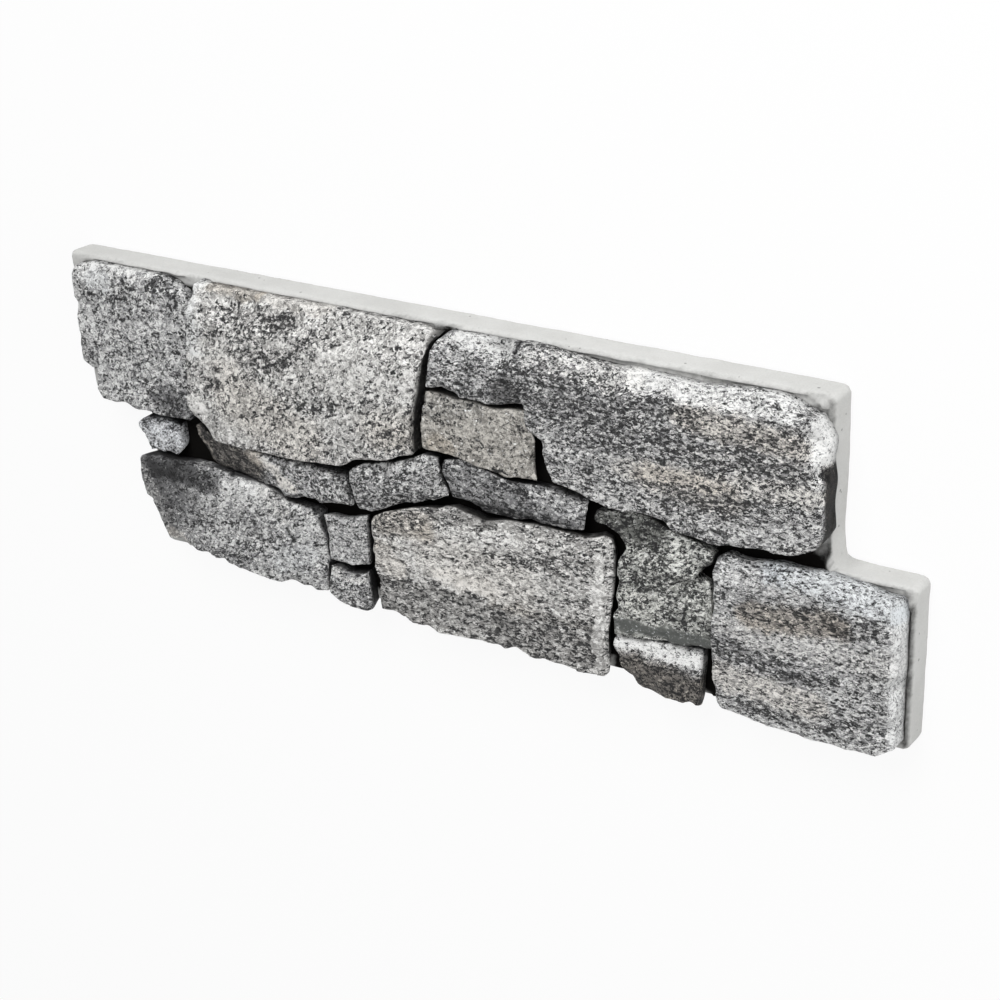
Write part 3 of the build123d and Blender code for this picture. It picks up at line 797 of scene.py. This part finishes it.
def broken_face(points, normals, seed, stone):
    """How far each point moves along its normal, in metres."""
    shift = Vector((3.1, 1.7, 2.3)) * seed
    along = Matrix.Rotation(math.radians(-stone.foliation), 3, "Z")
    places = [Vector(p) for p in points]
    slow = np.array([noise.noise(p / 0.034 + shift) for p in places])
    rough = np.array([noise.noise(p / 0.006 + shift) for p in places])
    grit = np.array([noise.noise(p / 0.0022 + shift) for p in places])
    pits = np.array([noise.noise(p / 0.0038 - shift) for p in places])
    sheets, flakes = np.empty(len(places)), np.empty(len(places))
    for i, p in enumerate(places):
        sheets[i] = terrace(along @ p + 0.1 * shift)
        q = p / 0.015 + shift
        hub = noise.voronoi(q)[1][0]
        flakes[i] = (q - hub).dot(noise.cell_vector(hub * 7.0) - Vector((0.5, 0.5, 0.5)))
    rise = stone.heave * slow + stone.flake * (2.2 * flakes + 1.1 * sheets) + 0.38 * rough + 0.26 * grit - 0.25
    calm = np.clip((normals[:, 2] - 0.1) / 0.7, 0.3, 1)
    return (rise - 1.6 * np.clip(pits - 0.28, 0, 1)) * calm * MM


def ragged(points, seed):
    """Shifts the outline to and fro a little, as a broken edge runs."""
    shift = Vector((2.3, 4.1, 1.9)) * seed
    sway = np.array([noise.noise_vector(Vector(p) / 0.013 + shift)[:2] for p in points])
    points[:, :2] += SWAY * sway


print("relief ready")

# %% [markdown]
# Strokes come next. Noise at two sizes frays their edges. Then the joints: wherever a flank lies close to another
# stone and well under its own face, it is painted dark as shade. A search tree of the other stones tells how close.

# %% Strokes and painted joint shade
# Strokes of painted shade on two deep flanks, with a brown tone on the right block's.
FLANK_SHADE_STROKES = {
    "right_block": [(252, 58, 252, 4, 7, 0.2, -1.3, 0.6)],
    "centre_block": [(4, 84, -8, 22, 8, 0.05, -0.6, 0)],
}
# How strongly flanks near other stones are painted dark as shade.
JOINT_SHADE = 1.1


def search_tree(names):
    """A search tree of the CAD solids of some stones."""
    corners, polygons = [], []
    for name in names:
        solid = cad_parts[name].data
        start = len(corners)
        corners += [v.co.copy() for v in solid.vertices]
        polygons += [[start + i for i in p.vertices] for p in solid.polygons]
    return BVHTree.FromPolygons(corners, polygons)


trees = {name: search_tree([other for other in STONES if other != name]) for name in STONES}


def brushed(frayed, strokes):
    """What a list of strokes adds at each place."""
    total = np.zeros((len(frayed), 3))
    for x0, y0, x1, y1, radius, *adds in strokes:
        gap, _ = nearest_on([(x0, y0), (x1, y1)], frayed)
        soft = np.clip((1.4 - gap / radius) / 0.85, 0, 1)
        total += (soft * soft * (3 - 2 * soft))[:, None] * np.array(adds)
    return total


def paint(points, name, top, seed):
    """The mineral map: mica, paleness and warmth at each point, with painted shade in the paleness deep in the joints.
    """
    flat = points[:, :2] / MM
    shift = Vector((5.3, 2.9, 0.7)) * seed
    spots = [Vector((x, y, 0.0)) for x, y in flat]
    broad = np.array([noise.noise_vector(s / 8.0 + shift)[:2] for s in spots])
    narrow = np.array([noise.noise_vector(s / 2.6 - shift)[:2] for s in spots])
    total = brushed(flat + 3.6 * broad + 1.4 * narrow, STROKES[name])
    # Deep on the flanks the paleness takes painted shade: the flank strokes, and darkness wherever another stone is
    # near.
    depth = np.clip(((top - points[:, 2]) / MM - 3.5) / 4, 0, 1)
    total += depth[:, None] * brushed(flat, FLANK_SHADE_STROKES.get(name, []))
    for i in np.nonzero(depth > 0)[0]:
        gap = trees[name].find_nearest(Vector(points[i]), 0.010)[3]
        if gap is not None:
            total[i, 1] -= JOINT_SHADE * depth[i] * min(1.0, max(0.0, (9 * MM - gap) / (5 * MM)))
    return total


print(len(trees), "search trees")

# %% [markdown]
# ## The finish of one stone
#
# A material for a stone is the granite group with that stone's values, a Principled shader and a Bump node for the
# grains that are too small for the mesh. The uniform numbers are written on the shader itself.

# %% Granite finish
def finish_from(name, group, values, bump_strength, bump_depth, gloss):
    """A material that takes colour, roughness and bump from a shader group."""
    finish = bpy.data.materials.new(name)
    finish.use_nodes = True
    tree = finish.node_tree
    body = tree.nodes["Principled BSDF"]
    source = tree.nodes.new("ShaderNodeGroup")
    source.node_tree = group
    for label, value in values.items():
        source.inputs[label].default_value = value
    bump = tree.nodes.new("ShaderNodeBump")
    bump.inputs["Strength"].default_value = bump_strength
    bump.inputs["Distance"].default_value = bump_depth
    tree.links.new(source.outputs["Height"], bump.inputs["Height"])
    tree.links.new(bump.outputs[0], body.inputs["Normal"])
    tree.links.new(source.outputs["Color"], body.inputs["Base Color"])
    tree.links.new(source.outputs["Roughness"], body.inputs["Roughness"])
    body.inputs["Specular IOR Level"].default_value = gloss
    return finish


def granite_finish(name, stone, seed):
    """A granite material with one stone's own values."""
    feldspar, quartz = PALE_MINERALS[stone.minerals]
    values = {"Foliation": stone.foliation, "Grain": stone.grain * MM, "Stretch": stone.stretch, "Mica": stone.mica,
              "Streaking": stone.streaking, "Width": stone.width * MM, "Seed": seed, "Feldspar": feldspar,
              "Quartz": quartz}
    return finish_from("granite_" + name, granite, values, 0.6, 0.5 * MM, 0.18)


print("granite finish ready for", len(PALE_MINERALS), "families of minerals")

# %% [markdown]
# ## All sixteen stones
#
# Every stone goes through the same steps in the same order: an even skin, closed joints, strokes, corners drawn out
# and knocked off, leaning flanks, a ragged outline, chips, and last the relief of its face. A stack of modifiers could
# do part of this, but here each step has to know where on the panel it is, so a plain loop is simpler to follow.

# %% All sixteen stones
CEILING = cad_high.z - 0.05 * MM
faces = 0
for seed, (name, stone) in enumerate(STONES.items(), start=1):
    piece, _ = even_skin(name, "split_" + name, VOXEL)
    mesh = piece.data
    points, normals = close_joints(read(mesh, "co")), read(mesh, "normal")
    top = np.quantile(points[:, 2], 0.97)
    strokes_at = paint(points, name, top, seed)
    for place in DRAWN_OUT.get(name, []):
        draw_out(points, *place)
    for place in KNOCKED_OFF.get(name, []):
        knock_off(points, *place)
    lean_back(points, *LEAN.get(name, (0, 0)))
    ragged(points, seed)
    chip_edges(points, normals, top, seed)
    rise = broken_face(points, normals, seed, stone)
    free = np.clip((points[:, 2] - SLAB) / (2 * MM), 0, 1)
    points += normals * (rise * free)[:, None]
    points[:, 2] = np.clip(points[:, 2], SLAB, CEILING)
    points = np.clip(points, np.array(cad_low), np.array(cad_high))
    mesh.vertices.foreach_set("co", points.astype(np.float32).ravel())
    mesh.attributes.new("mineral_map", "FLOAT_VECTOR", "POINT").data.foreach_set(
        "vector", strokes_at.astype(np.float32).ravel())
    mesh.polygons.foreach_set("use_smooth", [True] * len(mesh.polygons))
    mesh.materials.clear()
    mesh.materials.append(granite_finish(name, stone, seed))
    mesh.update()
    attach(piece, "root")
    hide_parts(name)
    faces += len(mesh.polygons)
print(faces, "faces on the stones")

# %% [markdown]
# ## Concrete
#
# The slab is cast in a mould: pale, matt, faintly blotched, with small pits where air bubbles lay against the mould.
# Its front, which the stones are bedded in, was never smoothed. It is greyer along the open edges and painted almost
# black between the stones as the shade of the joints, so its mesh carries a map of mortar shade too: 0 is clean skin
# and 1 the deepest joint.

# %% Group: cast concrete
concrete, given, made = new_group(
    "cast_concrete",
    {"Skin": (0.615, 0.615, 0.60, 1), "Bed": (0.006, 0.0055, 0.005, 1), "Pore Spacing": 0.007},
    {"Color": "NodeSocketColor", "Roughness": "NodeSocketFloat", "Height": "NodeSocketFloat"})
place = concrete.nodes.new("ShaderNodeTexCoord").outputs["Object"]
blotch = cloud(concrete, place, 26.0, 3.0, 0.6)
sand = cloud(concrete, place, 900.0, 2.0, 0.6)
bubbles = concrete.nodes.new("ShaderNodeTexVoronoi")
plug(concrete, bubbles.inputs["Vector"], place)
plug(concrete, bubbles.inputs["Scale"], reckon(concrete, "DIVIDE", 1.0, given["Pore Spacing"]))
lot = concrete.nodes.new("ShaderNodeSeparateColor")
concrete.links.new(bubbles.outputs["Color"], lot.inputs[0])
size = fade(concrete, lot.outputs[0], 0.3, 1.0, 0.0, 0.13)
pit = fade(concrete, reckon(concrete, "SUBTRACT", bubbles.outputs["Distance"], size), 0.02, -0.02)
# The map is painted shade on the mortar: near black deep in the joints.
mortar_shade_map = concrete.nodes.new("ShaderNodeAttribute")
mortar_shade_map.attribute_name = "mortar_shade_map"
crumbs = cloud(concrete, place, 260.0, 3.0, 0.6)
frayed_mortar_shade = reckon(concrete, "MULTIPLY_ADD", reckon(concrete, "SUBTRACT", crumbs, 0.5), 0.5, mortar_shade_map.outputs["Fac"])
bed = reckon(concrete, "MULTIPLY", fade(concrete, frayed_mortar_shade, 0.05, 0.85), fade(concrete, mortar_shade_map.outputs["Fac"], 0.0, 0.1))
skin = tint(concrete, fade(concrete, blotch, 0.3, 0.7, 0.0, 0.3), given["Skin"], (0.43, 0.43, 0.41, 1))
skin = tint(concrete, fade(concrete, crumbs, 0.55, 0.8, 0.0, 0.25), skin, (0.36, 0.36, 0.345, 1))
skin = tint(concrete, fade(concrete, sand, 0.35, 0.75, 0.0, 0.2), skin, (0.80, 0.80, 0.79, 1))
# The pits are painted darker, as shade inside them.
skin = tint(concrete, reckon(concrete, "MULTIPLY", pit, 0.6), skin, (0.14, 0.14, 0.135, 1))
concrete.links.new(tint(concrete, bed, skin, given["Bed"]), made["Color"])
concrete.links.new(fade(concrete, sand, 0.2, 0.8, 0.80, 0.95), made["Roughness"])
concrete.links.new(reckon(concrete, "MULTIPLY_ADD", pit, -1.5, sand), made["Height"])
print("group", concrete.name, len(concrete.nodes), "nodes")

# %% [markdown]
# ## The backing
#
# The slab's shape comes from CAD, but a casting has no perfect edge, and mortar creeps up against the stones. So we
# remesh it too, shake its skin by a few tenths of a millimetre, and lift the front beside the stones. Rays sent out
# sideways just above the front tell how far a place is shut in between stones: a joint stops nearly all of them, an
# open edge only half, and that share is painted onto the front as shade. The back stays flat, because it goes against
# the wall.

# %% How far each place is shut in
all_stones = search_tree(STONES)
COMPASS = [Vector((math.cos(a), math.sin(a), 0)) for a in np.linspace(0, 2 * math.pi, 12, endpoint=False)]
LOOKOUT = 0.03


def shut_in(spot):
    """The share of sideways rays that a stone stops, or 1 under a stone."""
    if all_stones.ray_cast(spot - Vector((0, 0, 6 * MM)), Vector((0, 0, 1)), 0.05)[0] is not None:
        return 1.0
    return sum(all_stones.ray_cast(spot, way, LOOKOUT)[0] is not None for way in COMPASS) / len(COMPASS)


print(len(COMPASS), "rays from each place")

# %% [markdown]
# The greyer stretches along the open edges are strokes again. Two places are built up: the joint right of the centre
# block is filled with mortar part of the way up, and a spur of concrete stands in the inner corner of the step.

# %% Backing slab
SLAB_VOXEL = 2.0 * MM
# Strokes on the mortar: the first four make the open top edge greyer, the rest paint black shade in the gaps beside and
# under the right block, along the end block and at the feet of the lower joints.
MORTAR_SHADE_STROKES = [
    (-30, 99, 14, 99, 5, 0.35), (70, 99, 135, 99, 4, 0.28), (150, 99, 246, 99, 3, 0.28), (-290, 97, -250, 98, 4, 0.25),
    (252, 60, 252, 6, 4, 0.95), (190, 2, 246, 0, 9, 1.0), (262, -3, 300, -3, 3, 0.45), (298, -10, 298, -96, 3, 0.6),
    (250, 98, 250, 66, 4, 0.5), (122, -92, 121, -103, 7, 1.0), (186, -92, 186, -103, 7, 1.0),
    (-53, -92, -53, -103, 6, 1.0),
]
FILLED_JOINT = [(1, 93), (-4, 78), (-9, 66), (-13, 45), (-16, 30), (-17, 20)]
FILLED_HEIGHT = 6.0
SPUR = (253, 4)
INNER = [(-295, 100), (250, 100), (250, 0), (300, 0), (300, -100), (-245, -100), (-245, 0), (-295, 0), (-295, 100)]
backing, edge = even_skin("backing_slab", "cast_backing", SLAB_VOXEL)
mesh = backing.data
points, normals = read(mesh, "co"), read(mesh, "normal")
places = [Vector(p) for p in points]
shake = np.array([0.5 * noise.noise(p / 0.026) + 0.3 * noise.noise(p / 0.007) for p in places]) - 0.15
shake -= 1.8 * edge * np.array([max(0.0, noise.noise(p / 0.011) + 0.1) for p in places])
loose = np.clip(points[:, 2] / (3 * MM), 0, 1)
front = np.nonzero((points[:, 2] > SLAB - 1.2 * MM) & (normals[:, 2] > 0.3))[0]
points += normals * (shake * loose * MM)[:, None]
draw_out(points, -296, 96, 24, -4, 0)
draw_out(points, 251, 60, 50, 1.2, 0)
draw_out(points, 252, 6, 7, 1.0, 0.8)
flat = points[:, :2] / MM
closed = np.zeros(len(points))
closed[front] = [shut_in(Vector((points[i, 0], points[i, 1], SLAB + 4 * MM))) for i in front]
# Painted shade: the more of the rays a place stops, the darker its mortar.
bed = np.clip(2.6 * (closed - 0.5), 0.12 * (closed > 0), 1)
frayed = flat[front] + [1.2 * noise.noise_vector(places[i] / 0.007).xy for i in front]
for x0, y0, x1, y1, radius, amount in MORTAR_SHADE_STROKES:
    gap, _ = nearest_on([(x0, y0), (x1, y1)], frayed)
    bed[front] = np.maximum(bed[front], amount * np.clip(1.5 - gap / radius, 0, 1))

print(len(front), "points on the slab's front")

# %% [markdown]
# Nobody sees the mortar under a stone, but no pale skin may shine through at the foot of a flank. So the painted
# shade of each joint spreads under the stones beside it, from point to point along the edges of the mesh, and the
# middle of the panel is painted dark throughout, as shade.

# %% Mortar under the stones takes the tone of the joint beside it
ends = np.empty(2 * len(mesh.edges), int)
mesh.edges.foreach_get("vertices", ends)
here, there = np.concatenate([ends[0::2], ends[1::2]]), np.concatenate([ends[1::2], ends[0::2]])
known = np.where(closed >= 1.0, 0.0, 1.0)
bed *= known
for _ in range(10):
    weight = np.bincount(here, known[there], len(bed))
    around = np.bincount(here, (known * bed)[there], len(bed)) / np.maximum(weight, 1e-9)
    fresh = (known == 0) & (weight > 0)
    bed[fresh], known[fresh] = around[fresh], 1.0
for _ in range(2):
    bed = 0.5 * bed + 0.5 * np.bincount(here, bed[there], len(bed)) / np.bincount(here, None, len(bed))
inside, _ = nearest_on(INNER, flat[front])
bed[front] = np.maximum(bed[front], np.clip((inside - 6) / 5, 0, 1))
print(round(float(bed[front].mean()), 2), "is the mean tone of the bed")

# %% [markdown]
# Now the front gets its shape. Mortar creeps up against the stones, most of all where the front lies open. The filled
# joint and the spur are soft mounds: a height that falls off with the distance from a line or from a point.

# %% Creeping mortar, filled joint and spur
for i in front:
    if closed[i] < 1.0:
        gap = all_stones.find_nearest(Vector((points[i, 0], points[i, 1], SLAB + 2 * MM)))[3] / MM
        creep = max(0.0, 1 - 1.6 * max(0.0, closed[i] - 0.4))
        points[i, 2] += 4.0 * MM * creep * math.exp(-gap / 2.2) * (0.7 + 0.6 * noise.noise(places[i] / 0.012))
gap, _ = nearest_on(FILLED_JOINT, flat[front])
filled = np.clip(1.6 - gap / 4.0, 0, 1)
points[front, 2] += FILLED_HEIGHT * MM * filled
# The filled mortar is painted dark grey, partly as the shade of its narrow joint.
bed[front] = bed[front] * (1 - filled) + 0.8 * filled
gap = np.linalg.norm(flat[front] - SPUR, axis=1)
lump = np.exp(-(gap / 4.5) ** 2)
points[front, 2] += 6 * MM * lump
bed[front] *= 1 - 0.9 * lump
points = np.clip(points, np.array(cad_low), np.array(cad_high))
mesh.vertices.foreach_set("co", points.astype(np.float32).ravel())
mesh.attributes.new("mortar_shade_map", "FLOAT", "POINT").data.foreach_set("value", bed.astype(np.float32))
mesh.polygons.foreach_set("use_smooth", [True] * len(mesh.polygons))
mesh.update()
print(len(mesh.polygons), "faces on the backing")

# %% [markdown]
# The concrete's material is put together as the granite's was, with less bump and hardly any gloss, because cast
# concrete is chalky.

# %% Concrete finish
finish = finish_from("cast_concrete", concrete, {}, 0.4, 0.4 * MM, 0.05)
mesh.materials.clear()
mesh.materials.append(finish)
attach(backing, "root")
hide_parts("backing_slab")
print("finish", finish.name)
